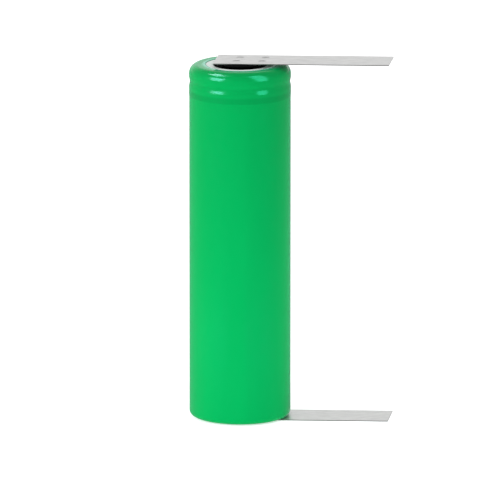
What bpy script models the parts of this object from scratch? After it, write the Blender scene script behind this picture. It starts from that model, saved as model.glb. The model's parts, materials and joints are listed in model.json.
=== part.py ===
"""A cylindrical lithium-ion cell, 18 mm across and 65 mm long, with a nickel solder strip on each end.

The cell stands upright on its negative strip. +Z runs up the axis of the cell, +X along both strips,
and the origin is on that axis at the underside of the negative strip.
Dimensions are in millimetres, and MM turns them into Blender's metres.
"""

import math

import bmesh
import bpy
from mathutils import Matrix, Vector

MM = 0.001

# Turned pieces: the sides of every full circle, and the steps of every rounded corner
SIDES = 32
CORNER_STEPS = 4
MERGE = 1e-6  # metres
CLEAR = 0.02  # gap between pieces that touch

# Nickel strips
STRIP_THICKNESS = 0.15
STRIP_WIDTH = 8.0
STRIP_BACK = -4.4
STRIP_TIP = 27.2
TIP_SKEW = 0.6  # how much further the far corner of a cut end reaches than the near one
BEND_X = 9.6  # where a strip is bent by hand, just outside the sleeve
FOOT_GAP = 0.1  # from the bend line back to the welded end
FREE_GAP = 0.05  # from the bend line on to the free end
WELD_SPACING_X = 4.6
WELD_SPACING_Y = 3.2
WELD_LEAN = 0.5  # how much further along the strip the far row of welds is than the near one
WELD_RADIUS = 0.6
WELD_DIMPLE = 0.06
POSITIVE_WELD_X = 2.0
NEGATIVE_WELD_X = 0.0
WELD_SIDES = 12

# Sleeve
SLEEVE_RADIUS = 9.175
SLEEVE_THICKNESS = 0.1
SLEEVE_LIP_RADIUS = 6.2
SLEEVE_FOOT_RADIUS = 6.9
SLEEVE_BOTTOM = STRIP_THICKNESS + CLEAR
SLEEVE_CORNER = 0.98
SLEEVE_TOP = 64.85
SHOULDER_WIDTH = 1.575
SHOULDER_HEIGHT = 1.65
WAIST_Z = 61.75
WAIST_HALF_HEIGHT = 0.75
WAIST_DEPTH = 0.05

# Steel can
CAN_RADIUS = 9.05
CAN_WALL = 0.22
CAN_BOTTOM = 0.3
CAN_FLOOR = CAN_BOTTOM + CAN_WALL
CAN_BORE = CAN_RADIUS - CAN_WALL
CAN_CORNER = 0.85
CRIMP_TOP = 64.5
CRIMP_CORNER = 1.3
CRIMP_LIP_RADIUS = 6.6
GROOVE_Z = 61.35
GROOVE_HEIGHT = 2.4
GROOVE_DEPTH = 0.8
GROOVE_STEPS = 8

# Positive end, from the outside in
RING_HOLE = 4.8
RING_RADIUS = 7.5
RING_THICKNESS = 0.2
RING_BOTTOM = CRIMP_TOP + 0.03  # rests on the crimp
CAP_TOP = 65.5
CAP_SHEET = 0.3
CAP_PLATEAU_RADIUS = 4.2
CAP_BUTTON_RADIUS = 4.4
CAP_FLANGE_TOP = 63.9
CAP_WINDOWS = 3
CAP_WINDOW_ANGLE = 90  # degrees
CAP_WINDOW_BOTTOM = 64.05
CAP_WINDOW_TOP = 65.1
STACK_RADIUS = 8.2  # the rims held inside the gasket
PTC_HOLE = 5.3
PTC_THICKNESS = 0.28
VENT_SHEET = 0.25
VENT_RIM_RADIUS = 6.0
VENT_DISH_RADIUS = 4.0
VENT_DISH_DEPTH = 0.7
CID_RADIUS = 6.8
CID_THICKNESS = 0.4
CID_HOLES = 6
CID_HOLE_RADIUS = 0.55
CID_HOLE_CIRCLE = 3.6
CID_RING_WIDTH = 0.7
GASKET_CLEAR = 0.04  # all round, inside the can
GASKET_BOTTOM = 62.1
GASKET_BOTTOM_HOLE = 7.0
GASKET_TOP_HOLE = 6.4
GASKET_CHAMFER_WIDTH = 0.36
GASKET_CHAMFER_HEIGHT = 0.45

# Wound electrodes: a few thick turns where the real roll has about twenty thin ones
ROLL_TURNS = 4.5
ROLL_STEPS_PER_TURN = 20
ROLL_INNER_RADIUS = 2.0
ROLL_OUTER_RADIUS = 8.5
ROLL_LAYERS = 4
SHEET_THICKNESS = 0.24
SEPARATOR_SPAN = (1.1, 59.5)
ANODE_SPAN = (1.6, 58.9)
CATHODE_SPAN = (2.1, 58.4)
TAPE_RADIUS = 8.76
TAPE_THICKNESS = 0.08
TAPE_SPAN = (5.0, 55.0)
PIN_RADIUS = 1.6
PIN_BORE = 1.2
PIN_SPAN = (1.1, 59.4)

# Insulating discs and leads inside the can
TOP_DISC_BOTTOM = 59.6
TOP_DISC_RADIUS = 8.5
TOP_DISC_HOLE = 1.5
BOTTOM_DISC_BOTTOM = 0.8
BOTTOM_DISC_RADIUS = 7.8
BOTTOM_DISC_HOLE = 1.3
DISC_THICKNESS = 0.2
LEAD_THICKNESS = 0.1
CATHODE_LEAD_WIDTH = 3.0
CATHODE_LEAD_X = 4.6
CATHODE_LEAD_FOLD_X = -3.0
CATHODE_LEAD_END_X = 2.0
LEAD_SLOT = (0.9, 3.8)
ANODE_LEAD_WIDTH = 4.0
ANODE_LEAD_X = 8.05
ANODE_LEAD_END_X = -1.5
LEAD_CORNER = 0.2
LEAD_ROLL_GAP = 0.03  # from the roll's edges to a lead's start
CATHODE_LEAD_RISE = 0.8  # from the top disc to the lead's first run
LEAD_TAPE_THICKNESS = 0.06
LEAD_TAPE_MARGIN = 0.4  # from the tape's top to the lead's first run


def empty_scene():
    """Removes every object, and makes the two collections."""
    for obj in list(bpy.data.objects):
        bpy.data.objects.remove(obj, do_unlink=True)
    parts = bpy.data.collections.new("cylindrical_battery_cell")
    cutters = bpy.data.collections.new("cutters")
    for collection in (parts, cutters):
        bpy.context.scene.collection.children.link(collection)
    return parts, cutters


PARTS, CUTTERS = empty_scene()


def material(name, color, roughness, metallic=0.0):
    """A Principled material of one colour."""
    made = bpy.data.materials.new(name)
    made.use_nodes = True
    shader = made.node_tree.nodes["Principled BSDF"]
    shader.inputs["Base Color"].default_value = (*color, 1.0)
    shader.inputs["Roughness"].default_value = roughness
    shader.inputs["Metallic"].default_value = metallic
    made.diffuse_color = (*color, 1.0)
    return made


def add_object(name, mesh, look, collection=PARTS):
    """Links a mesh as one named object with its own material."""
    obj = bpy.data.objects.new(name, mesh)
    if look:
        mesh.materials.append(look)
    collection.objects.link(obj)
    return obj


def mesh_from(name, shape):
    mesh = bpy.data.meshes.new(name)
    shape.to_mesh(mesh)
    shape.free()
    return mesh


def arc(centre, radii, start, end, steps=CORNER_STEPS):
    """Points on an ellipse about centre, from start to end degrees, where 0 is outwards and 90 is up."""
    turns = [math.radians(start + (end - start) * i / steps) for i in range(steps + 1)]
    return [(centre[0] + radii[0] * math.cos(a), centre[1] + radii[1] * math.sin(a)) for a in turns]


def outline(name, points, closed):
    """A mesh of edges through (radius, height) points, in the XZ plane."""
    shape = bmesh.new()
    corners = [shape.verts.new((r * MM, 0, z * MM)) for r, z in points]
    for a, b in zip(corners, corners[1:]):
        shape.edges.new((a, b))
    if closed:
        shape.edges.new((corners[-1], corners[0]))
    return mesh_from(name, shape)


def turned(name, points, look, closed=True, sides=SIDES, collection=PARTS):
    """A profile turned about Z. Its points run down the outer side."""
    obj = add_object(name, outline(name, points, closed), look, collection)
    screw = obj.modifiers.new("Turn", "SCREW")
    screw.steps = sides
    screw.render_steps = sides
    screw.use_merge_vertices = True
    screw.merge_threshold = MERGE
    screw.use_smooth_shade = True
    return obj


def turned_shell(name, points, thickness, look):
    """Sheet of even thickness turned about Z. The points are its outer face, from top to bottom."""
    obj = turned(name, points, look, closed=False)
    shell = obj.modifiers.new("Sheet", "SOLIDIFY")
    shell.thickness = thickness * MM
    shell.offset = -1
    shell.use_even_offset = True
    return obj


def washer(name, hole, radius, bottom, thickness, look):
    """A flat ring."""
    top = bottom + thickness
    return turned(name, [(hole, top), (radius, top), (radius, bottom), (hole, bottom)], look)


def block(name, low, high, look=None, collection=PARTS):
    """A box between two corners."""
    low = Vector(low) * MM
    high = Vector(high) * MM
    shape = bmesh.new()
    bmesh.ops.create_cube(shape, size=1.0)
    bmesh.ops.scale(shape, vec=high - low, verts=shape.verts)
    bmesh.ops.translate(shape, vec=(low + high) / 2, verts=shape.verts)
    return add_object(name, mesh_from(name, shape), look, collection)


def plug(name, radii, centre, height, collection=CUTTERS):
    """A cone or cylinder on Z, with (bottom, top) radii, centred on a point."""
    shape = bmesh.new()
    place = Matrix.Translation(Vector(centre) * MM)
    bmesh.ops.create_cone(
        shape, cap_ends=True, segments=WELD_SIDES, radius1=radii[0] * MM, radius2=radii[1] * MM,
        depth=height * MM, matrix=place,
    )
    return add_object(name, mesh_from(name, shape), None, collection)


def cut(obj, tool, operation="DIFFERENCE"):
    """Cuts the tool from the object, or joins it on. The tool stays as a hidden helper."""
    tool.hide_render = True
    tool.display_type = "WIRE"
    boolean = obj.modifiers.new(tool.name, "BOOLEAN")
    boolean.operation = operation
    boolean.solver = "EXACT"
    boolean.object = tool


def bent_strip(name, path, width, thickness, look):
    """A flat strip that follows (x, z) points, with the path on its middle."""
    shape = bmesh.new()
    sides = []
    for y in (-width / 2, width / 2):
        sides.append([shape.verts.new((x * MM, y * MM, z * MM)) for x, z in path])
    for i in range(len(path) - 1):
        shape.faces.new((sides[0][i], sides[0][i + 1], sides[1][i + 1], sides[1][i]))
    obj = add_object(name, mesh_from(name, shape), look)
    sheet = obj.modifiers.new("Sheet", "SOLIDIFY")
    sheet.thickness = thickness * MM
    sheet.offset = 0
    sheet.use_even_offset = True
    return obj


def sleeve():
    """Heat-shrunk tube that covers the can and folds in over both ends."""
    shoulder = (SLEEVE_RADIUS - SHOULDER_WIDTH, SLEEVE_TOP - SHOULDER_HEIGHT)
    foot = (SLEEVE_RADIUS - SLEEVE_CORNER, SLEEVE_BOTTOM + SLEEVE_CORNER)
    points = [(SLEEVE_LIP_RADIUS, SLEEVE_TOP)]
    points += arc(shoulder, (SHOULDER_WIDTH, SHOULDER_HEIGHT), 90, 0, CORNER_STEPS + 2)
    points += [(SLEEVE_RADIUS, WAIST_Z + WAIST_HALF_HEIGHT)]
    points += [(SLEEVE_RADIUS - WAIST_DEPTH, WAIST_Z)]
    points += [(SLEEVE_RADIUS, WAIST_Z - WAIST_HALF_HEIGHT)]
    points += arc(foot, (SLEEVE_CORNER, SLEEVE_CORNER), 0, -90)
    points += [(SLEEVE_FOOT_RADIUS, SLEEVE_BOTTOM)]
    look = material("sleeve_pvc", (0.002, 0.5, 0.12), 0.3)
    turned_shell("pvc_sleeve", points, SLEEVE_THICKNESS, look)


def groove_points():
    """The can's rolled-in groove, from top to bottom."""
    points = []
    for i in range(GROOVE_STEPS + 1):
        along = i / GROOVE_STEPS
        depth = GROOVE_DEPTH * (1 - math.cos(2 * math.pi * along)) / 2
        points.append((CAN_RADIUS - depth, GROOVE_Z + GROOVE_HEIGHT * (0.5 - along)))
    return points


def can():
    """Drawn steel can, grooved under the gasket and crimped in over it."""
    crimp = (CAN_RADIUS - CRIMP_CORNER, CRIMP_TOP - CRIMP_CORNER)
    foot = (CAN_RADIUS - CAN_CORNER, CAN_BOTTOM + CAN_CORNER)
    points = [(CRIMP_LIP_RADIUS, CRIMP_TOP)]
    points += arc(crimp, (CRIMP_CORNER, CRIMP_CORNER), 90, 0)
    points += groove_points()
    points += arc(foot, (CAN_CORNER, CAN_CORNER), 0, -90)
    points += [(0, CAN_BOTTOM)]
    look = material("can_nickel_plate", (0.62, 0.61, 0.58), 0.3, 1.0)
    turned_shell("steel_can", points, CAN_WALL, look)


def insulating_ring():
    """Fibre washer between the crimped rim and the sleeve's lip."""
    look = material("ring_fibre", (0.7, 0.72, 0.68), 0.8)
    washer("insulating_ring", RING_HOLE, RING_RADIUS, RING_BOTTOM, RING_THICKNESS, look)


def cap():
    """Pressed top hat that is the positive contact, with vent windows round its button."""
    top_corner = CAP_BUTTON_RADIUS - CAP_PLATEAU_RADIUS
    points = [(0, CAP_TOP)]
    points += arc((CAP_PLATEAU_RADIUS, CAP_TOP - top_corner), (top_corner, top_corner), 90, 0, 2)
    points += [(CAP_BUTTON_RADIUS, CAP_FLANGE_TOP)]
    points += [(STACK_RADIUS, CAP_FLANGE_TOP)]
    points += [(STACK_RADIUS, CAP_FLANGE_TOP - CAP_SHEET)]
    points += [(CAP_BUTTON_RADIUS - CAP_SHEET, CAP_FLANGE_TOP - CAP_SHEET)]
    points += [(CAP_BUTTON_RADIUS - CAP_SHEET, CAP_TOP - CAP_SHEET)]
    points += [(0, CAP_TOP - CAP_SHEET)]
    look = material("cap_nickel_plate", (0.62, 0.61, 0.58), 0.25, 1.0)
    obj = turned("positive_cap", points, look, closed=False)
    for i in range(CAP_WINDOWS):
        cut(obj, window(i))


def window(index):
    """Wedge that cuts one vent window, the first of them facing -Y."""
    middle = math.radians(-90 + 360 * index / CAP_WINDOWS)
    half = math.radians(CAP_WINDOW_ANGLE / 2)
    reach = CAP_BUTTON_RADIUS / math.cos(half) + 1
    inner = CAP_BUTTON_RADIUS / 2
    left, right = middle - half, middle + half
    shape = bmesh.new()
    ring = []
    for radius, turn in ((inner, left), (reach, left), (reach, right), (inner, right)):
        place = Vector((radius * math.cos(turn), radius * math.sin(turn), CAP_WINDOW_BOTTOM)) * MM
        ring.append(shape.verts.new(place))
    face = shape.faces.new(ring)
    grown = bmesh.ops.extrude_face_region(shape, geom=[face])
    risen = [v for v in grown["geom"] if isinstance(v, bmesh.types.BMVert)]
    bmesh.ops.translate(shape, vec=(0, 0, (CAP_WINDOW_TOP - CAP_WINDOW_BOTTOM) * MM), verts=risen)
    bmesh.ops.recalc_face_normals(shape, faces=shape.faces)
    name = f"vent_window_{index + 1}"
    return add_object(name, mesh_from(name, shape), None, CUTTERS)


def ptc():
    """Resettable fuse ring under the cap."""
    bottom = CAP_FLANGE_TOP - CAP_SHEET - CLEAR - PTC_THICKNESS
    look = material("ptc_polymer", (0.03, 0.03, 0.03), 0.5)
    washer("ptc_ring", PTC_HOLE, STACK_RADIUS, bottom, PTC_THICKNESS, look)
    return bottom


def vent(top):
    """Dished aluminium disc that bulges up and tears when the cell overheats."""
    dish = top - VENT_DISH_DEPTH
    points = [(0, dish), (VENT_DISH_RADIUS, dish), (VENT_RIM_RADIUS, top), (STACK_RADIUS, top)]
    points += [(STACK_RADIUS, top - VENT_SHEET), (VENT_RIM_RADIUS, top - VENT_SHEET)]
    points += [(VENT_DISH_RADIUS, dish - VENT_SHEET), (0, dish - VENT_SHEET)]
    look = material("vent_aluminium", (0.78, 0.78, 0.78), 0.35, 1.0)
    turned("vent_disc", points, look, closed=False)
    return top - VENT_SHEET, dish - VENT_SHEET


def current_interrupt(rim_bottom, dish_bottom):
    """Perforated disc welded to the middle of the vent disc, and the plastic ring between their rims."""
    top = dish_bottom - CLEAR
    look = material("cid_aluminium", (0.72, 0.72, 0.72), 0.4, 1.0)
    bottom = top - CID_THICKNESS
    points = [(0, top), (CID_RADIUS, top), (CID_RADIUS, bottom), (0, bottom)]
    obj = turned("cid_disc", points, look, closed=False)
    for i in range(CID_HOLES):
        turn = 2 * math.pi * (i + 0.5) / CID_HOLES
        centre = (CID_HOLE_CIRCLE * math.cos(turn), CID_HOLE_CIRCLE * math.sin(turn), (top + bottom) / 2)
        hole = plug(f"cid_hole_{i + 1}", (CID_HOLE_RADIUS, CID_HOLE_RADIUS), centre, 3 * CID_THICKNESS)
        cut(obj, hole)
    ring_bottom = top + CLEAR
    plastic = material("cid_ring_plastic", (0.75, 0.75, 0.72), 0.5)
    ring_height = rim_bottom - CLEAR - ring_bottom
    washer("cid_insulator_ring", CID_RADIUS - CID_RING_WIDTH, CID_RADIUS, ring_bottom, ring_height, plastic)
    return bottom


def gasket(stack_bottom):
    """Plastic seal that wraps the rims of the cap, fuse and vent, and insulates them from the can."""
    stack_top = CAP_FLANGE_TOP
    inner = STACK_RADIUS + CLEAR
    radius = CAN_BORE - GASKET_CLEAR
    corner = CRIMP_CORNER - CAN_WALL - GASKET_CLEAR
    crimp = (CAN_RADIUS - CRIMP_CORNER, CRIMP_TOP - CRIMP_CORNER)
    points = [(GASKET_TOP_HOLE, crimp[1] + corner)]
    points += arc(crimp, (corner, corner), 90, 0)
    points += [(radius, GASKET_BOTTOM + GASKET_CHAMFER_HEIGHT)]
    points += [(radius - GASKET_CHAMFER_WIDTH, GASKET_BOTTOM)]
    points += [(GASKET_BOTTOM_HOLE, GASKET_BOTTOM)]
    points += [(GASKET_BOTTOM_HOLE, stack_bottom - CLEAR), (inner, stack_bottom - CLEAR)]
    points += [(inner, stack_top + CLEAR), (GASKET_TOP_HOLE, stack_top + CLEAR)]
    turned("crimp_gasket", points, material("gasket_plastic", (0.12, 0.13, 0.15), 0.45))


def wound_sheet(name, layer, span, look):
    """One sheet of the roll: an even spiral, standing on its edge. Layer 0 is the innermost."""
    pitch = (ROLL_OUTER_RADIUS - ROLL_INNER_RADIUS) / (ROLL_TURNS + 1)
    count = round(ROLL_TURNS * ROLL_STEPS_PER_TURN)
    shape = bmesh.new()
    rows = [[], []]
    for i in range(count + 1):
        turn = i / ROLL_STEPS_PER_TURN
        radius = ROLL_INNER_RADIUS + pitch * (turn + (layer + 0.5) / ROLL_LAYERS)
        x = radius * math.cos(2 * math.pi * turn)
        y = radius * math.sin(2 * math.pi * turn)
        for row, z in zip(rows, span):
            row.append(shape.verts.new((x * MM, y * MM, z * MM)))
    for i in range(count):
        shape.faces.new((rows[0][i], rows[0][i + 1], rows[1][i + 1], rows[1][i]))
    obj = add_object(name, mesh_from(name, shape), look)
    obj.data.shade_smooth()
    thick = obj.modifiers.new("Sheet", "SOLIDIFY")
    thick.thickness = SHEET_THICKNESS * MM
    thick.offset = 0
    thick.use_even_offset = True


def roll():
    """The wound electrodes, their closing tape and the pin up the middle."""
    film = material("separator_film", (0.8, 0.8, 0.78), 0.6)
    wound_sheet("separator_inner", 0, SEPARATOR_SPAN, film)
    wound_sheet("anode_sheet", 1, ANODE_SPAN, material("anode_graphite", (0.05, 0.05, 0.05), 0.8))
    wound_sheet("separator_outer", 2, SEPARATOR_SPAN, film.copy())
    wound_sheet("cathode_sheet", 3, CATHODE_SPAN, material("cathode_oxide", (0.02, 0.02, 0.025), 0.7))
    low, high = TAPE_SPAN
    tape = material("tape_film", (0.1, 0.25, 0.6), 0.4)
    washer("closing_tape", TAPE_RADIUS - TAPE_THICKNESS, TAPE_RADIUS, low, high - low, tape)
    low, high = PIN_SPAN
    steel = material("pin_steel", (0.5, 0.5, 0.5), 0.4, 1.0)
    washer("centre_pin", PIN_BORE, PIN_RADIUS, low, high - low, steel)


def insulating_discs():
    """Discs that keep the roll off the can's floor and off the cap assembly."""
    look = material("top_disc_plastic", (0.85, 0.85, 0.8), 0.6)
    disc = washer("top_insulator_disc", TOP_DISC_HOLE, TOP_DISC_RADIUS, TOP_DISC_BOTTOM, DISC_THICKNESS, look)
    length, width = LEAD_SLOT
    low = (CATHODE_LEAD_X - length / 2, -width / 2, TOP_DISC_BOTTOM - 1)
    high = (CATHODE_LEAD_X + length / 2, width / 2, TOP_DISC_BOTTOM + 1)
    cut(disc, block("lead_slot", low, high, collection=CUTTERS))
    look = material("bottom_disc_plastic", (0.85, 0.85, 0.8), 0.6)
    hole, radius = BOTTOM_DISC_HOLE, BOTTOM_DISC_RADIUS
    washer("bottom_insulator_disc", hole, radius, BOTTOM_DISC_BOTTOM, DISC_THICKNESS, look)


def cathode_lead(top):
    """Aluminium lead from the roll, folded back under the current-interrupt disc, and its tape."""
    low = SEPARATOR_SPAN[1] + LEAD_ROLL_GAP
    run = TOP_DISC_BOTTOM + DISC_THICKNESS + CATHODE_LEAD_RISE
    end = top - CLEAR - LEAD_THICKNESS / 2
    fold = (end - run) / 2
    path = [(CATHODE_LEAD_X, low)]
    path += arc((CATHODE_LEAD_X - LEAD_CORNER, run - LEAD_CORNER), (LEAD_CORNER, LEAD_CORNER), 0, 90, 3)
    path += arc((CATHODE_LEAD_FOLD_X, run + fold), (fold, fold), 270, 90, 6)
    path += [(CATHODE_LEAD_END_X, end)]
    look = material("lead_aluminium", (0.75, 0.75, 0.75), 0.35, 1.0)
    bent_strip("cathode_lead", path, CATHODE_LEAD_WIDTH, LEAD_THICKNESS, look)
    lead_tape(TOP_DISC_BOTTOM - 2 * CLEAR, run - LEAD_TAPE_MARGIN)


def lead_tape(low, high):
    """One turn of tape round the upright part of the cathode lead."""
    half_x = LEAD_THICKNESS / 2 + CLEAR + LEAD_TAPE_THICKNESS
    half_y = CATHODE_LEAD_WIDTH / 2 + CLEAR + LEAD_TAPE_THICKNESS
    shape = bmesh.new()
    corners = [(-half_x, -half_y), (half_x, -half_y), (half_x, half_y), (-half_x, half_y)]
    rows = [
        [shape.verts.new(((CATHODE_LEAD_X + x) * MM, y * MM, z * MM)) for x, y in corners]
        for z in (low, high)
    ]
    for i in range(len(corners)):
        after = (i + 1) % len(corners)
        shape.faces.new((rows[0][i], rows[0][after], rows[1][after], rows[1][i]))
    look = material("lead_tape_film", (0.75, 0.55, 0.1), 0.4)
    obj = add_object("cathode_lead_tape", mesh_from("cathode_lead_tape", shape), look)
    wrap = obj.modifiers.new("Tape", "SOLIDIFY")
    wrap.thickness = LEAD_TAPE_THICKNESS * MM
    wrap.offset = -1
    wrap.use_even_offset = True


def anode_lead():
    """Nickel lead from the roll, folded in under it to the middle of the can's floor."""
    floor = CAN_FLOOR + CLEAR + LEAD_THICKNESS / 2
    path = [(ANODE_LEAD_X, SEPARATOR_SPAN[0] - LEAD_ROLL_GAP)]
    path += arc((ANODE_LEAD_X - LEAD_CORNER, floor + LEAD_CORNER), (LEAD_CORNER, LEAD_CORNER), 0, -90, 3)
    path += [(ANODE_LEAD_END_X, floor)]
    look = material("lead_nickel", (0.6, 0.58, 0.54), 0.35, 1.0)
    bent_strip("anode_lead", path, ANODE_LEAD_WIDTH, LEAD_THICKNESS, look)


def skew_end(obj, end_x):
    """Slants a strip's end, so that its +Y corner reaches further than its -Y corner."""
    for corner in obj.data.vertices:
        if abs(corner.co.x - end_x * MM) < MERGE:
            corner.co.x += math.copysign(TIP_SKEW / 2 * MM, corner.co.y)


def strip(sign_name, bottom, weld_x, weld_up, bump):
    """One nickel strip: the end welded to the cell, and the free end beyond the bend line.

    weld_up says whether the welding tips pressed on its upper face, and bump how far the metal under
    them stands out of its other face.
    """
    half = STRIP_WIDTH / 2
    top = bottom + STRIP_THICKNESS
    color = (0.66, 0.65, 0.62)
    look = material(f"{sign_name}_strip_nickel", color, 0.4, 1.0)
    foot_name = f"{sign_name}_strip_welded_end"
    foot = block(foot_name, (STRIP_BACK, -half, bottom), (BEND_X - FOOT_GAP, half, top), look)
    skew_end(foot, STRIP_BACK)
    number = 0
    for x in (-WELD_SPACING_X / 2, WELD_SPACING_X / 2):
        for y in (-WELD_SPACING_Y / 2, WELD_SPACING_Y / 2):
            number += 1
            name = f"{sign_name}_weld_{number}"
            lean = math.copysign(WELD_LEAN / 2, y)
            weld(foot, name, (weld_x + x + lean, y), bottom, weld_up, bump)
    look = material(f"{sign_name}_strip_end_nickel", color, 0.4, 1.0)
    free_name = f"{sign_name}_strip_free_end"
    free = block(free_name, (BEND_X + FREE_GAP, -half, bottom), (STRIP_TIP, half, top), look)
    skew_end(free, STRIP_TIP)
    bend = Vector((BEND_X, 0, bottom + STRIP_THICKNESS / 2)) * MM
    free.data.transform(Matrix.Translation(-bend))
    free.location = bend


def weld(foot, name, place, bottom, weld_up, bump):
    """A spot weld: a dimple in the pressed face, and a bump on the face that meets the cell."""
    small = WELD_RADIUS / 2
    if weld_up:
        pressed = bottom + STRIP_THICKNESS
        radii = (small, WELD_RADIUS + small)
        dimple = plug(f"{name}_dimple", radii, (*place, pressed), 2 * WELD_DIMPLE)
    else:
        raised = bottom + STRIP_THICKNESS
        nugget = plug(f"{name}_bump", (WELD_RADIUS + small, small), (*place, raised), 2 * bump)
        cut(foot, nugget, "UNION")
        radii = (WELD_RADIUS + small, small)
        dimple = plug(f"{name}_dimple", radii, (*place, bottom), 2 * WELD_DIMPLE)
    cut(foot, dimple)


def build():
    sleeve()
    can()
    insulating_ring()
    cap()
    ptc_bottom = ptc()
    rim_bottom, dish_bottom = vent(ptc_bottom - CLEAR)
    cid_bottom = current_interrupt(rim_bottom, dish_bottom)
    gasket(rim_bottom)
    roll()
    insulating_discs()
    cathode_lead(cid_bottom)
    anode_lead()
    strip("positive", CAP_TOP + CLEAR, POSITIVE_WELD_X, True, 0.0)
    strip("negative", 0.0, NEGATIVE_WELD_X, False, CAN_BOTTOM - STRIP_THICKNESS - CLEAR)


build()
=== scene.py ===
"""Looks for a cylindrical lithium-ion cell with a nickel solder strip on each end.

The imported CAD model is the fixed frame. The sleeve, the fibre washer and both strips get finer meshes here.
Every other node keeps its solid and gets a procedural material.
"""

import json
import math

import bpy
import numpy as np
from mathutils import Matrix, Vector, noise


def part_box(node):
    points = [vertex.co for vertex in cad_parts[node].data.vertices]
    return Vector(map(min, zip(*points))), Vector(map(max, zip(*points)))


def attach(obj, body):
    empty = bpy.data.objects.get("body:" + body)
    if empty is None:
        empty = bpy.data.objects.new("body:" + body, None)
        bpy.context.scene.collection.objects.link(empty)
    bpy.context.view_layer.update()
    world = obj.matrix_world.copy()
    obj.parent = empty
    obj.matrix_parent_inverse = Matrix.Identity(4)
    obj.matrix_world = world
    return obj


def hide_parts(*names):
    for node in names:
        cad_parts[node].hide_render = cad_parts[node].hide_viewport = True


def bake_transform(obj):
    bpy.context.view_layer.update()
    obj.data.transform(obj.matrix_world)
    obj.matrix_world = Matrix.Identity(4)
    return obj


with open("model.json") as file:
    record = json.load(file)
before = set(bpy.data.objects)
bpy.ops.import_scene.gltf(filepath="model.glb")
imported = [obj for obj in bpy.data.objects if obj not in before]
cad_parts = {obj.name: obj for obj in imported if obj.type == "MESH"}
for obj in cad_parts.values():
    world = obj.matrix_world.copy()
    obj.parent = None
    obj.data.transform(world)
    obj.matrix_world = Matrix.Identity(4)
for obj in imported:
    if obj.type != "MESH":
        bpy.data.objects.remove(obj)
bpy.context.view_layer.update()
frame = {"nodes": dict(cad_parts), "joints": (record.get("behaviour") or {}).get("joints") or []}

MM = 0.001
NOISE_OFFSET = Vector((3.1, 7.7, 1.9))
WHITE = (1.0, 1.0, 1.0, 1.0)

# Camera
CAMERA_AZIMUTH = 2.9
CAMERA_ELEVATION = 12.7
CAMERA_DISTANCE = 2.0
CAMERA_LENS = 832.0
CAMERA_TARGET = Vector((0.0, 0.0, 0.0324))

# Room. Reflections see it grey below the horizon, and in front as far as ROOM_GREY_ANGLE from the camera's
# side. They see it white beyond ROOM_WHITE_ANGLE.
ROOM_GREY = 0.33
ROOM_LOW_GREY = 0.3
ROOM_GREY_ANGLE = 125
ROOM_WHITE_ANGLE = 166
HORIZON_BLUR = 0.06
FLOOR_HALF = 6.0
FLOOR_GLOW = 0.5

# Lights, as (name, azimuth, elevation, size, radiance). A highlight also has a colour.
LIGHT_DISTANCE = 0.5
KEY_LIGHT = ("key_light", -50, 12, (0.4, 0.4), 3.3)
HIGHLIGHTS = (
    ("left_softbox", -51, 20, (0.27, 0.25), 22.0, (1.3, 1.0, 1.05)),
    ("upper_left_softbox", -86, 60, (0.22, 0.16), 24.0, (1.3, 1.0, 1.05)),
    ("right_softbox", 54, 34, (0.24, 0.66), 14.0, (0.4, 1.0, 0.75)),
)

# Bounce lights near the floor, as (name, azimuth, radiance)
BOUNCES = (("left_bounce", -62, 3.6), ("right_bounce", 50, 2.6))
BOUNCE_ELEVATION = -28.5
BOUNCE_SIZE = (0.08, 0.012)
BOUNCE_DISTANCE = 0.057
BOUNCE_TINT = (0.7, 1.0, 1.25)

# Sides of the round pieces
SIDES = 192

# Sleeve
SLEEVE_WALL = 0.1 * MM
SHOULDER_WIDTH = 1.575 * MM
SHOULDER_HEIGHT = 1.65 * MM
EVEN_BODY_DEPTH = 7.5 * MM
FOOT_CORNER = 0.98 * MM
FOOT_LIP_RADIUS = 6.9 * MM
TOP_LIP_RADIUS = 6.2 * MM
LIP_TINT_START = 0.1 * MM
LIP_TINT_END = 0.9 * MM
LIP_WAVE_REACH = 1.2 * MM
LIP_WAVE = 0.12 * MM
LIP_PUCKER = 0.03 * MM
LIP_SAG = 0.03 * MM
FOOT_PUCKER = 0.012 * MM
FOOT_PUCKER_START = 8.4 * MM
FOOT_PUCKER_FULL = 7.2 * MM

SLEEVE_GREEN = (0.0003, 0.272, 0.058)
SLEEVE_GLOSS = (0.22, 0.9, 1.0, 1.0)
SLEEVE_SHEEN = (0.0, 1.0, 0.6, 1.0)
SLEEVE_LIP = (0.24, 0.6, 0.46, 1.0)
# Deeper green of the film's cut edge, partly its own colour and partly a painted shadow line between the lip
# and the washer.
SLEEVE_CUT_AND_SHADOW = (0.02, 0.3, 0.14, 1.0)

# Fibre washer
RING_HOLE = 4.8 * MM
RING_EDGE = 0.05 * MM
RING_NICK = 0.03 * MM

# Cap, and the can's plating
PLATE = (0.6, 0.59, 0.57)
# Painted shade: black on the cap's edge and flange, where the recess under the strip lies in shade.
RECESS_SHADE_BLACK = (0.004, 0.004, 0.0045, 1.0)
RECESS_SHADE_START = 3.5 * MM
RECESS_SHADE_FULL = 3.8 * MM

# Strips
STRIP_EDGE = 0.03 * MM
RIM_THICKNESS = 0.45  # as a share of the strip's
TIP_LEAN = 0.3 * MM
TIP_LEAN_REACH = 1.5 * MM
BURR = 0.02 * MM
BURR_REACH = 0.25 * MM
RIPPLE = 0.012 * MM
RIPPLE_SCALE = 260
RIPPLE_REACH = 4 * MM
BEND_HALF = 0.45 * MM
SHARP_EDGE_ANGLE = 50

NICKEL = (0.84, 0.84, 0.832)
BURNT_NICKEL = (0.3, 0.26, 0.2, 1.0)

# Steps of the strips' grids
BEND_STEP = 0.06 * MM
WELD_STEP = 0.11 * MM
PLAIN_STEP_X = 0.4 * MM
PLAIN_STEP_Y = 0.35 * MM

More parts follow.
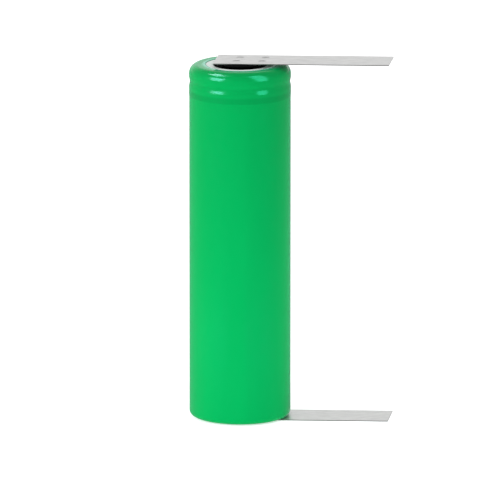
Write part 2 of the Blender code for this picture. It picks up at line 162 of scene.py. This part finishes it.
# Spot welds
WELD_SPACING_X = 4.6 * MM
WELD_SPACING_Y = 3.2 * MM
WELD_LEAN = 0.5 * MM
POSITIVE_WELD_X = 2.0 * MM
NEGATIVE_WELD_X = 0.0
WELD_RADIUS = 0.72 * MM
WELD_DEPTH = 0.09 * MM
WELD_REACH = 1.1 * MM


# ---------------------------------------------------------------- materials


def mix_colors(nodes, links, factor, first, second):
    """A colour between first and second. Each is a colour or an output."""
    node = nodes.new("ShaderNodeMix")
    node.data_type = "RGBA"
    for socket, value in ((node.inputs["Factor"], factor), (node.inputs[6], first), (node.inputs[7], second)):
        if isinstance(value, bpy.types.NodeSocket):
            links.new(value, socket)
        else:
            socket.default_value = value
    return node.outputs[2]


class Look:
    """A Principled material and the nodes that feed it."""

    def __init__(self, name, color, roughness, metallic=0.0, **settings):
        self.material = bpy.data.materials.new(name)
        self.material.use_nodes = True
        self.nodes = self.material.node_tree.nodes
        self.links = self.material.node_tree.links
        self.shader = self.nodes["Principled BSDF"]
        self.color = (*color, 1.0)
        self.set("Base Color", self.color)
        self.set("Roughness", roughness)
        self.set("Metallic", metallic)
        for socket, value in settings.items():
            self.set(socket.replace("_", " "), value)

    def set(self, socket, value):
        self.shader.inputs[socket].default_value = value

    def add(self, kind, **settings):
        node = self.nodes.new(kind)
        for key, value in settings.items():
            setattr(node, key, value)
        return node

    def shade(self, factor):
        """The look's own colour, lighter or darker."""
        return tuple(min(1.0, c * factor) for c in self.color[:3]) + (1.0,)

    def place(self, stretch=(1.0, 1.0, 1.0)):
        """Object coordinates, stretched."""
        source = self.add("ShaderNodeTexCoord")
        mapping = self.add("ShaderNodeMapping")
        mapping.inputs["Scale"].default_value = stretch
        self.links.new(source.outputs["Object"], mapping.inputs["Vector"])
        return mapping.outputs["Vector"]

    def noise(self, scale, detail=3.0, stretch=(1.0, 1.0, 1.0), rough=0.5):
        """Noise over the surface. scale is in cycles a metre."""
        node = self.add("ShaderNodeTexNoise")
        node.inputs["Scale"].default_value = scale
        node.inputs["Detail"].default_value = detail
        node.inputs["Roughness"].default_value = rough
        self.links.new(self.place(stretch), node.inputs["Vector"])
        return node.outputs["Fac"]

    def attribute(self, name):
        node = self.add("ShaderNodeAttribute", attribute_name=name)
        return node.outputs["Fac"]

    def spread(self, value, low, high, start=0.3, end=0.7):
        """Maps value's range from start to end on to low to high."""
        node = self.add("ShaderNodeMapRange")
        node.inputs["From Min"].default_value = start
        node.inputs["From Max"].default_value = end
        node.inputs["To Min"].default_value = low
        node.inputs["To Max"].default_value = high
        self.links.new(value, node.inputs["Value"])
        return node.outputs["Result"]

    def mix(self, factor, first, second):
        return mix_colors(self.nodes, self.links, factor, first, second)

    def mottle(self, value, dark, light):
        """The look's own colour, varied by value between two shades of it."""
        return self.mix(self.spread(value, 0, 1), self.shade(dark), self.shade(light))

    def feed(self, socket, output):
        self.links.new(output, self.shader.inputs[socket])

    def bump(self, height, distance, strength=1.0):
        """Adds a bump, on top of any that is there. distance is in metres."""
        node = self.add("ShaderNodeBump")
        node.inputs["Strength"].default_value = strength
        node.inputs["Distance"].default_value = distance
        normal = self.shader.inputs["Normal"]
        if normal.is_linked:
            self.links.new(normal.links[0].from_socket, node.inputs["Normal"])
        self.links.new(height, node.inputs["Height"])
        self.links.new(node.outputs["Normal"], normal)


def sleeve_look():
    """Glossy green PVC film, with painted shade where it stands off the can over the groove and in a crease
    above it, and greyer at its thin cut lip. Its cut edge is deeper green, partly its own colour and partly a
    painted shadow line.
    """
    look = Look(
        "sleeve_pvc", SLEEVE_GREEN, 0.24, Specular_IOR_Level=0.2, Specular_Tint=SLEEVE_GLOSS,
        Sheen_Weight=0.2, Sheen_Roughness=0.35, Sheen_Tint=SLEEVE_SHEEN,
    )
    body = look.mottle(look.noise(90, 2.0, (1, 1, 0.25)), 0.96, 1.04)
    # Painted shade: darker where the film stands off the can over the groove and in the crease above it.
    groove_shaded = look.mix(look.attribute("bridge"), body, look.shade(0.84))
    lip = look.mix(look.attribute("lip"), groove_shaded, SLEEVE_LIP)
    # The cut edge takes a deeper green, partly its own and partly painted shadow.
    look.feed("Base Color", look.mix(look.attribute("cut_edge"), lip, SLEEVE_CUT_AND_SHADOW))
    look.feed("Roughness", look.spread(look.noise(700, 4.0), 0.13, 0.2))
    look.bump(look.noise(160, 2.0, (1, 1, 0.12)), 0.00004, 0.4)
    look.bump(look.noise(1500, 2.0), 0.000002, 0.12)
    return look.material


def fibre_look():
    """Off-white pressed fibre board, with a green tint painted in for the sleeve's reflected light."""
    # Painted reflection: the green in this off-white stands for light from the sleeve.
    look = Look("ring_fibre", (0.73, 0.79, 0.76), 0.85)
    fibres = look.noise(5200, 5.0, (1, 1, 1), 0.7)
    look.feed("Base Color", look.mottle(fibres, 0.9, 1.04))
    look.bump(fibres, 0.00002, 0.6)
    return look.material


def nickel_look(name):
    """Rolled nickel: fine grain along X, mottling, a straw tint at the welds and painted shade on the sheared
    edges.
    """
    look = Look(name, NICKEL, 0.42, 1.0)
    grain = look.noise(9000, 4.0, (0.05, 1.0, 1.0), 0.65)
    mottle = look.noise(1000, 4.0, (0.5, 1.0, 1.0), 0.6)
    plain = look.mottle(mottle, 0.9, 1.05)
    fine = look.mix(look.spread(grain, 0, 0.35), plain, look.shade(0.8))
    burnt = look.mix(look.attribute("heat"), fine, BURNT_NICKEL)
    # Painted shade: the strip's edge faces are darkened.
    look.feed("Base Color", look.mix(look.attribute("sheared"), burnt, look.shade(0.35)))
    look.feed("Roughness", look.spread(grain, 0.36, 0.52))
    look.bump(grain, 0.000004, 0.5)
    look.bump(mottle, 0.00001, 0.4)
    return look.material


def can_look():
    """Nickel plate on pressed steel: soft cloudiness and fine scuffs."""
    look = Look("can_plate", PLATE, 0.3, 1.0)
    cloud = look.noise(600, 4.0)
    scuff = look.noise(5000, 3.0, (1, 0.15, 1), 0.7)
    look.feed("Base Color", look.mottle(cloud, 0.88, 1.05))
    look.feed("Roughness", look.spread(scuff, 0.22, 0.44))
    look.bump(scuff, 0.000003, 0.5)
    return look.material


def cap_look():
    """Plated cap, bright on its contact face, and black round its edge and flange as painted shade for the
    shaded recess under the strip.
    """
    look = Look("cap_plate", PLATE, 0.32, 1.0, Specular_IOR_Level=0.05)
    source = look.add("ShaderNodeTexCoord")
    flat = look.add("ShaderNodeVectorMath", operation="MULTIPLY")
    flat.inputs[1].default_value = (1.0, 1.0, 0.0)
    radius = look.add("ShaderNodeVectorMath", operation="LENGTH")
    look.links.new(source.outputs["Object"], flat.inputs[0])
    look.links.new(flat.outputs["Vector"], radius.inputs[0])
    bare_face = look.spread(radius.outputs["Value"], 1.0, 0.0, RECESS_SHADE_START, RECESS_SHADE_FULL)
    scuff = look.noise(5000, 3.0, (1, 0.15, 1), 0.7)
    # Painted shade: black outside the contact face.
    look.feed("Base Color", look.mix(bare_face, RECESS_SHADE_BLACK, look.mottle(scuff, 0.85, 1.05)))
    look.feed("Metallic", bare_face)
    look.feed("Roughness", look.spread(bare_face, 0.6, 0.34, 0.0, 1.0))
    look.bump(scuff, 0.000003, 0.5)
    return look.material


def metal_look(name, color, roughness, stretch=(1, 1, 0.1)):
    """Bare rolled metal."""
    look = Look(name, color, roughness, 1.0)
    grain = look.noise(3500, 4.0, stretch, 0.6)
    look.feed("Base Color", look.mottle(grain, 0.85, 1.06))
    look.feed("Roughness", look.spread(grain, roughness - 0.06, roughness + 0.12))
    look.bump(grain, 0.000005, 0.5)
    return look.material


def plastic_look(name, color, roughness, speckle=2600):
    """Moulded or punched plastic with a fine matt surface."""
    look = Look(name, color, roughness)
    fine = look.noise(speckle, 4.0)
    broad = look.noise(240, 2.0)
    look.feed("Base Color", look.mottle(broad, 0.92, 1.06))
    look.feed("Roughness", look.spread(fine, roughness - 0.05, roughness + 0.1))
    look.bump(fine, 0.000008, 0.5)
    return look.material


def film_look(name, color, roughness):
    """Thin polymer film with faint lines along its winding direction."""
    look = Look(name, color, roughness)
    lines = look.noise(1800, 3.0, (0.2, 0.2, 1.0))
    look.feed("Base Color", look.mottle(lines, 0.94, 1.04))
    look.feed("Roughness", look.spread(lines, roughness - 0.05, roughness + 0.08))
    look.bump(lines, 0.000006, 0.4)
    return look.material


def coating_look(name, color):
    """Powder coating on foil: dense grains, some much paler than others."""
    look = Look(name, color, 0.8)
    grains = look.noise(14000, 4.0, rough=0.7)
    look.feed("Base Color", look.mottle(grains, 0.6, 1.7))
    look.bump(grains, 0.00002, 0.6)
    return look.material


# ---------------------------------------------------------------- mesh helpers


def add_mesh(name, points, faces, look):
    mesh = bpy.data.meshes.new(name)
    mesh.from_pydata(points, [], faces)
    mesh.validate()
    mesh.materials.append(look)
    obj = bpy.data.objects.new(name, mesh)
    bpy.context.scene.collection.objects.link(obj)
    mesh.shade_smooth()
    return obj


def set_attribute(obj, name, values):
    attribute = obj.data.attributes.new(name, "FLOAT", "POINT")
    attribute.data.foreach_set("value", np.asarray(values, np.float32))


def arc(centre, radii, start, end, steps):
    """Points on an ellipse about centre, from start to end degrees, where 0 is outwards and 90 is up."""
    turns = np.radians(np.linspace(start, end, steps + 1))
    return [(centre[0] + radii[0] * math.cos(a), centre[1] + radii[1] * math.sin(a)) for a in turns]


def lathe(name, profile, look, shift):
    """A closed profile turned about Z. Its points run down the outer side and back up the inner one.

    shift(angle, index) gives what to add to a point's (radius, height).
    """
    points = []
    for i, (radius, height) in enumerate(profile):
        for k in range(SIDES):
            angle = 2 * math.pi * k / SIDES
            dr, dz = shift(angle, i)
            points.append(((radius + dr) * math.cos(angle), (radius + dr) * math.sin(angle), height + dz))
    faces = []
    count = len(profile)
    for i in range(count):
        after = (i + 1) % count
        for k in range(SIDES):
            turn = (k + 1) % SIDES
            faces.append((i * SIDES + k, after * SIDES + k, after * SIDES + turn, i * SIDES + turn))
    return add_mesh(name, points, faces, look)


def offset_profile(profile, distance):
    """The profile moved along its own normals, towards the axis where it runs down."""
    line = np.array(profile)
    along = np.gradient(line, axis=0)
    along /= np.linalg.norm(along, axis=1)[:, None]
    inward = np.stack([along[:, 1], -along[:, 0]], axis=1)
    return [tuple(p) for p in line + inward * distance]


def around(angle, size):
    """A point on a circle of that size, for noise that closes on itself round a piece."""
    return Vector((math.cos(angle), math.sin(angle), 0)) * size


def bell(value, centre, width):
    return math.exp(-(((value - centre) / width) ** 2))


def smooth(value, start, end):
    """0 at start and 1 at end, with a soft rise between."""
    t = min(1.0, max(0.0, (value - start) / (end - start)))
    return t * t * (3 - 2 * t)


# ---------------------------------------------------------------- sleeve and washer


def band(height, top):
    """How far the sleeve stands in from its widest, in metres.

    From the top down there are the crimp's bulge, a waist, a second bulge, a ledge and the body. All depths
    and widths in here are in millimetres.
    """
    down = (top - height) / MM
    waist = 0.125 * (smooth(down, 2.1, 3.1) - smooth(down, 3.1, 4.1))
    ledge = 0.03 * smooth(down, 5.5, 5.8)
    crease = 0.01 * bell(down, 6.65, 0.12)
    low_crease = 0.006 * bell(height / MM, 3.9, 0.25)
    return (waist + ledge + crease + low_crease) * MM


def sleeve_profile():
    """The sleeve's outer face from its top lip to its bottom lip, as (radius, height)."""
    low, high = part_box("pvc_sleeve")
    radius, top, bottom = high[0], high[2], low[2]
    points = [(r, top) for r in np.linspace(TOP_LIP_RADIUS, radius - SHOULDER_WIDTH, 8)[:-1]]
    shoulder = (radius - SHOULDER_WIDTH, top - SHOULDER_HEIGHT)
    points += arc(shoulder, (SHOULDER_WIDTH, SHOULDER_HEIGHT), 90, 0, 24)
    for height in np.linspace(top - SHOULDER_HEIGHT, top - EVEN_BODY_DEPTH, 70)[1:]:
        points.append((radius - band(height, top), height))
    body = radius - band(top - EVEN_BODY_DEPTH, top)
    for height in np.linspace(top - EVEN_BODY_DEPTH, bottom + FOOT_CORNER, 50)[1:]:
        points.append((body, height))
    foot = (body - FOOT_CORNER, bottom + FOOT_CORNER)
    points += arc(foot, (FOOT_CORNER, FOOT_CORNER), 0, -90, 16)[1:]
    points += [(r, bottom) for r in np.linspace(body - FOOT_CORNER, FOOT_LIP_RADIUS, 6)[1:]]
    return points


def lip_share(place, top):
    """How much of the thin lip's colour a point of the sleeve takes."""
    share = smooth(place.xy.length, TOP_LIP_RADIUS + LIP_TINT_END, TOP_LIP_RADIUS + LIP_TINT_START)
    return (place.z > top / 2) * share


def groove_shade_share(height, top):
    """How much painted shade the film takes where it stands off the can: over the bead's lower half, and in a
    crease above it.
    """
    down = (top - height) / MM
    return smooth(down, 4.3, 4.8) * (1 - smooth(down, 5.5, 5.75)) + 0.35 * bell(down, 3.0, 0.25)


def make_sleeve():
    """Shrink sleeve: one thin film from the lip over the positive end to the lip under the base."""
    outer = sleeve_profile()
    inner = offset_profile(outer, SLEEVE_WALL)
    profile = outer + inner[::-1]
    top, bottom = outer[0][1], outer[-1][1]
    wave_end = TOP_LIP_RADIUS + LIP_WAVE_REACH

    def shift(angle, index):
        """An uneven lip at the top, and a slightly puckered one at the foot."""
        radius, height = profile[index]
        near_top = smooth(height, top - LIP_WAVE_REACH, top)
        near_foot = 1 - smooth(height, bottom, bottom + LIP_WAVE_REACH)
        wave = noise.noise(around(angle, 1.3) + NOISE_OFFSET)
        pucker = noise.noise(around(angle, 1.3) * 7 + NOISE_OFFSET * 2)
        inward = (radius < wave_end) * smooth(radius, wave_end, TOP_LIP_RADIUS)
        dr = near_top * inward * (LIP_WAVE * wave + LIP_PUCKER * pucker)
        dz = near_foot * smooth(radius, FOOT_PUCKER_START, FOOT_PUCKER_FULL) * FOOT_PUCKER * pucker
        return dr, dz - near_top * inward * LIP_SAG

    obj = lathe("sleeve", profile, sleeve_look(), shift)
    places = [vertex.co for vertex in obj.data.vertices]
    cut_rings = (0, len(profile) - 1)
    set_attribute(obj, "lip", [lip_share(co, top) for co in places])
    # Painted shade over the groove and in the crease above it.
    set_attribute(obj, "bridge", [groove_shade_share(co.z, top) for co in places])
    # The top lip's cut edge: its own deeper green plus a painted shadow line.
    set_attribute(obj, "cut_edge", [float(index // SIDES in cut_rings) for index in range(len(places))])
    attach(obj, "cell")
    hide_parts("pvc_sleeve")


def make_ring():
    """Fibre washer under the sleeve's lip, with softened punched edges."""
    low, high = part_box("insulating_ring")
    hole, outside, edge = RING_HOLE, high[0], RING_EDGE
    profile = [(r, high[2]) for r in np.linspace(hole + edge, outside - edge, 12)]
    profile += arc((outside - edge, high[2] - edge), (edge, edge), 90, 0, 3)[1:]
    profile += arc((outside - edge, low[2] + edge), (edge, edge), 0, -90, 3)
    profile += [(r, low[2]) for r in np.linspace(outside - edge, hole + edge, 6)[1:]]
    profile += arc((hole + edge, low[2] + edge), (edge, edge), 270, 180, 3)[1:]
    profile += arc((hole + edge, high[2] - edge), (edge, edge), 180, 90, 3)[:-1]

    def shift(angle, index):
        """Small nicks in the hole's edge."""
        nick = noise.noise(around(angle, 4) + NOISE_OFFSET * 3) * (profile[index][0] < hole + 2 * edge)
        return RING_NICK * nick, 0.0

    obj = lathe("fibre_ring", profile, fibre_look(), shift)
    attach(obj, "cell")
    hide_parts("insulating_ring")


# ---------------------------------------------------------------- strips


def weld_shape(x, y, welds):
    """(height, heat) of the spot welds at a point: a steep-sided pit with a low rim and a dark oxide ring."""
    height = heat = 0.0
    for cx, cy in welds:
        d = math.hypot(x - cx, y - cy) / WELD_RADIUS
        height += WELD_DEPTH * (smooth(d, 0.78, 1.04) - 1 + 0.25 * bell(d, 1.2, 0.16))
        heat += 0.75 * bell(d, 0.85, 0.26) + 0.15 * bell(d, 1.35, 0.35)
    return height, min(1.0, heat)


def weld_places(weld_x):
    """Centres of a strip's four welds. The far row is WELD_LEAN further along than the near one."""
    return [
        (weld_x + sx * WELD_SPACING_X / 2 + sy * WELD_LEAN / 2, sy * WELD_SPACING_Y / 2)
        for sx in (-1, 1) for sy in (-1, 1)
    ]


def columns(start, end, bend, welds):
    """Places along a strip: close together at the welds and the bend, wider elsewhere."""
    places = [start]
    while places[-1] < end:
        x = places[-1]
        near_weld = min(abs(x - cx) for cx, _ in welds) < WELD_REACH
        near_bend = abs(x - bend) < 1.5 * BEND_HALF
        step = BEND_STEP if near_bend else WELD_STEP if near_weld else PLAIN_STEP_X
        places.append(min(end, x + step))
    return places


def rows(half, welds):
    """Places across a strip, with its rounded edges."""
    inner = half - STRIP_EDGE
    places = [-half, -inner]
    y = -inner
    while y < inner - 1e-9:
        near = min(abs(y - cy) for _, cy in welds) < WELD_REACH
        y = min(inner, y + (WELD_STEP if near else PLAIN_STEP_Y))
        places.append(y)
    return places + [half]


def sheet_faces(along, across):
    """Faces of a closed sheet: an upper and a lower grid of points, joined along both sides and both ends."""
    faces = []
    layer = across * along
    for i in range(along - 1):
        for k in range(across - 1):
            a = i * across + k
            faces.append((a, a + across, a + across + 1, a + 1))
            faces.append((layer + a, layer + a + 1, layer + a + across + 1, layer + a + across))
    for i in range(along - 1):
        for k, flip in ((0, False), (across - 1, True)):
            a = i * across + k
            quad = (a, layer + a, layer + a + across, a + across)
            faces.append(quad[::-1] if flip else quad)
    for k in range(across - 1):
        for i, flip in ((0, True), (along - 1, False)):
            a = i * across + k
            quad = (a, layer + a, layer + a + 1, a + 1)
            faces.append(quad[::-1] if flip else quad)
    return faces


def tip_share(x, start, end, reach):
    """(near the free end, near the welded end), each rising to 1 over the last reach of the strip."""
    return smooth(x, end - reach, end), smooth(x, start + reach, start)


def make_strip(name, sign_name, weld_x, pressed_up):
    """One nickel strip, whole from its welded end to its free end, with a finer grid at the hinge line."""
    foot_low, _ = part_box(f"{sign_name}_strip_welded_end")
    free_low, free_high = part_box(f"{sign_name}_strip_free_end")
    bottom, thickness, half = free_low[2], free_high[2] - free_low[2], free_high[1]
    joint = next(j for j in frame["joints"] if j["name"] == f"{sign_name}_strip_bend")
    bend = joint["pos_m"][0]
    start, end = foot_low[0] + TIP_LEAN, free_high[0] - TIP_LEAN
    welds = weld_places(weld_x)
    xs, ys = columns(start, end, bend, welds), rows(half, welds)
    press = 1 if pressed_up else -1
    points, heats, sheared = [], [], []

    def add_point(x, y, side):
        height, heat = weld_shape(x, y, welds)
        rim = abs(y) > half - STRIP_EDGE / 2
        level = thickness / 2 * side * (RIM_THICKNESS if rim else 1.0)
        near_free, near_welded = tip_share(x, start, end, TIP_LEAN_REACH)
        lean = TIP_LEAN * y / half * abs(near_free - near_welded)
        burr = -BURR * sum(tip_share(x, start, end, BURR_REACH))
        ripple = RIPPLE * noise.noise(Vector((x, y * 0.6, 0)) * RIPPLE_SCALE + NOISE_OFFSET)
        ripple *= smooth(x, bend, bend + RIPPLE_REACH)
        dimple = height if side > 0 or not pressed_up else 0.0
        z = bottom + thickness / 2 + level + dimple * press + burr * press + ripple
        points.append((x + lean, y, z))
        heats.append(heat)
        # Marks the edge faces for the painted shade.
        sheared.append(float(rim))

    for side in (1, -1):
        for x in xs:
            for y in ys:
                add_point(x, y, side)
    obj = add_mesh(name, points, sheet_faces(len(xs), len(ys)), nickel_look(f"{name}_nickel"))
    obj.data.set_sharp_from_angle(angle=math.radians(SHARP_EDGE_ANGLE))
    set_attribute(obj, "heat", heats)
    # Painted shade on the strip's edge faces.
    set_attribute(obj, "sheared", sheared)
    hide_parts(f"{sign_name}_strip_welded_end", f"{sign_name}_strip_free_end")
    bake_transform(obj)


# ---------------------------------------------------------------- the nodes that stay


def dress_nodes():
    """Materials for the CAD nodes that stay as they are."""
    looks = {
        "steel_can": can_look(),
        "positive_cap": cap_look(),
        "crimp_gasket": plastic_look("gasket_plastic", (0.012, 0.012, 0.014), 0.5),
        "ptc_ring": plastic_look("ptc_polymer", (0.02, 0.02, 0.02), 0.55, 4000),
        "vent_disc": metal_look("vent_aluminium", (0.76, 0.76, 0.76), 0.35, (1, 0.1, 1)),
        "cid_disc": metal_look("cid_aluminium", (0.72, 0.72, 0.72), 0.4, (1, 0.1, 1)),
        "cid_insulator_ring": plastic_look("cid_ring_plastic", (0.7, 0.7, 0.66), 0.5),
        "top_insulator_disc": plastic_look("top_disc_plastic", (0.74, 0.73, 0.66), 0.6),
        "bottom_insulator_disc": plastic_look("bottom_disc_plastic", (0.74, 0.73, 0.66), 0.6),
        "cathode_lead": metal_look("lead_aluminium", (0.74, 0.74, 0.74), 0.35),
        "anode_lead": metal_look("lead_nickel", (0.6, 0.58, 0.54), 0.35, (0.1, 1, 1)),
        "cathode_lead_tape": film_look("lead_tape_film", (0.62, 0.36, 0.05), 0.35),
        "closing_tape": film_look("closing_tape_film", (0.05, 0.16, 0.45), 0.35),
        "centre_pin": metal_look("pin_steel", (0.5, 0.49, 0.47), 0.35),
        "separator_inner": film_look("separator_inner_film", (0.78, 0.78, 0.75), 0.55),
        "separator_outer": film_look("separator_outer_film", (0.78, 0.78, 0.75), 0.55),
        "anode_sheet": coating_look("anode_graphite", (0.03, 0.03, 0.032)),
        "cathode_sheet": coating_look("cathode_oxide", (0.018, 0.018, 0.022)),
    }
    for name, look in looks.items():
        mesh = frame["nodes"][name].data
        mesh.materials.clear()
        mesh.materials.append(look)


# ---------------------------------------------------------------- studio


def direction(azimuth, elevation):
    """The unit vector towards a place round the object. Azimuth 0 is -Y, and 90 is +X."""
    a, e = math.radians(azimuth), math.radians(elevation)
    return Vector((math.sin(a) * math.cos(e), -math.cos(a) * math.cos(e), math.sin(e)))


def softbox(name, azimuth, elevation, size, radiance, distance=LIGHT_DISTANCE):
    """A rectangular studio light that faces the cell's middle. radiance is against the world's 1."""
    light = bpy.data.lights.new(name, "AREA")
    light.shape = "RECTANGLE"
    light.size, light.size_y = size
    light.energy = radiance * math.pi * size[0] * size[1]
    obj = bpy.data.objects.new(name, light)
    towards = direction(azimuth, elevation)
    obj.location = CAMERA_TARGET + towards * distance
    obj.rotation_mode = "QUATERNION"
    obj.rotation_quaternion = towards.to_track_quat("Z", "Y")
    obj.visible_camera = False
    bpy.context.scene.collection.objects.link(obj)
    return obj


def make_lights():
    """A broad key and two low bounces for the shading, and three softboxes for the sleeve's highlights.

    The key and the bounces don't show in reflections. The softboxes light nothing but the sleeve, and only
    its gloss.
    """
    key = softbox(*KEY_LIGHT)
    key.visible_glossy = False
    for name, azimuth, radiance in BOUNCES:
        bounce = softbox(name, azimuth, BOUNCE_ELEVATION, BOUNCE_SIZE, radiance, BOUNCE_DISTANCE)
        bounce.visible_glossy = False
        bounce.data.color = BOUNCE_TINT
    shiny = bpy.data.collections.new("highlight_receivers")
    shiny.objects.link(bpy.data.objects["sleeve"])
    for name, azimuth, elevation, size, radiance, color in HIGHLIGHTS:
        lamp = softbox(name, azimuth, elevation, size, radiance)
        lamp.data.color = color
        lamp.visible_diffuse = False
        lamp.light_linking.receiver_collection = shiny


def make_floor():
    """Pale light-table floor, level with the underside of the lower strip. Reflections don't see it."""
    look = Look("floor_paper", (0.9, 0.9, 0.9), 0.9)
    look.set("Specular IOR Level", 0.0)
    look.set("Emission Color", WHITE)
    look.set("Emission Strength", FLOOR_GLOW)
    corners = [(x * FLOOR_HALF, y * FLOOR_HALF, 0.0) for x, y in ((-1, -1), (1, -1), (1, 1), (-1, 1))]
    floor = add_mesh("floor", corners, [(0, 1, 2, 3)], look.material)
    floor.visible_glossy = False


def reflected_share(nodes, links, value, start, end):
    """Rises softly from 0 to 1 as value goes from start to end, in reflections. Elsewhere it is 0."""
    ramp = nodes.new("ShaderNodeMapRange")
    ramp.interpolation_type = "SMOOTHSTEP"
    ramp.inputs["From Min"].default_value = start
    ramp.inputs["From Max"].default_value = end
    links.new(value, ramp.inputs["Value"])
    path = nodes.new("ShaderNodeLightPath")
    share = nodes.new("ShaderNodeMath")
    share.operation = "MULTIPLY"
    links.new(ramp.outputs["Result"], share.inputs[0])
    links.new(path.outputs["Is Glossy Ray"], share.inputs[1])
    return share.outputs["Value"]


def make_world():
    """An even white room. Reflections see it grey in front and grey below the horizon."""
    world = bpy.data.worlds.new("studio")
    bpy.context.scene.world = world
    world.use_nodes = True
    nodes, links = world.node_tree.nodes, world.node_tree.links
    place = nodes.new("ShaderNodeTexCoord")
    front = nodes.new("ShaderNodeVectorMath")
    front.operation = "DOT_PRODUCT"
    front.inputs[1].default_value = direction(CAMERA_AZIMUTH, 0)
    links.new(place.outputs["Generated"], front.inputs[0])
    axes = nodes.new("ShaderNodeSeparateXYZ")
    links.new(place.outputs["Generated"], axes.inputs["Vector"])
    white_end, grey_start = (math.cos(math.radians(a)) for a in (ROOM_WHITE_ANGLE, ROOM_GREY_ANGLE))
    in_front = reflected_share(nodes, links, front.outputs["Value"], white_end, grey_start)
    below = reflected_share(nodes, links, axes.outputs["Z"], HORIZON_BLUR, -HORIZON_BLUR)
    room = mix_colors(nodes, links, in_front, WHITE, (ROOM_GREY, ROOM_GREY, ROOM_GREY, 1.0))
    room = mix_colors(nodes, links, below, room, (ROOM_LOW_GREY, ROOM_LOW_GREY, ROOM_LOW_GREY, 1.0))
    links.new(room, nodes["Background"].inputs["Color"])


def make_camera():
    """The photograph's view: a long lens from the front, a little above the cell."""
    camera = bpy.data.cameras.new("camera")
    camera.sensor_width = 36.0
    camera.lens = CAMERA_LENS
    camera.clip_start, camera.clip_end = 0.01, 20.0
    obj = bpy.data.objects.new("camera", camera)
    back = direction(CAMERA_AZIMUTH, CAMERA_ELEVATION)
    obj.location = CAMERA_TARGET + back * CAMERA_DISTANCE
    obj.rotation_mode = "QUATERNION"
    obj.rotation_quaternion = (-back).to_track_quat("-Z", "Y")
    bpy.context.scene.collection.objects.link(obj)
    bpy.context.scene.camera = obj


def make_studio():
    bpy.context.scene.view_settings.view_transform = "Standard"
    make_world()
    make_floor()
    make_lights()


make_camera()
make_sleeve()
make_ring()
make_strip("positive_strip", "positive", POSITIVE_WELD_X, True)
make_strip("negative_strip", "negative", NEGATIVE_WELD_X, False)
dress_nodes()
make_studio()
